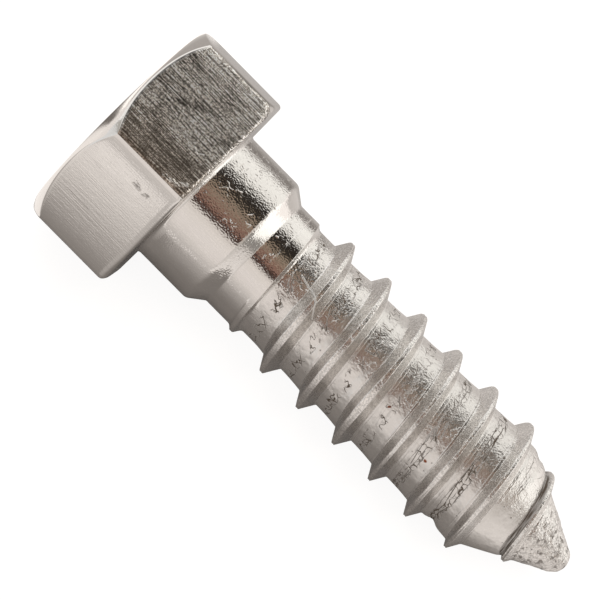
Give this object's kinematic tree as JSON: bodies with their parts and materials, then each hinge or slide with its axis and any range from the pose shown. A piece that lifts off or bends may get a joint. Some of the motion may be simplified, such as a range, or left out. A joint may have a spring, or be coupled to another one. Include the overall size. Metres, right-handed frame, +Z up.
{
  "type": "lag bolt",
  "caption": "Hex-head lag bolt for wood: short plain shank, shouldered neck, coarse right-hand rolled thread and a cone point.",
  "frame": {"origin": "on the table that the bolt lies on, under the middle of its box", "axes": "+X runs from the head to the point along the table, +Z is up. The bolt lies on the bearing edge of one head flat and on a crest of its thread, so its axis slopes down to the point by about 6.2 degrees"},
  "size_m": [0.0636, 0.0274, 0.0248],
  "materials": {
    "steel": "bright cold-formed stainless steel, satin on the rolled thread, with fine drawing streaks on the head's flats"
  },
  "bodies": {
    "root": {"lag_bolt": "steel"}
  },
  "joints": []
}
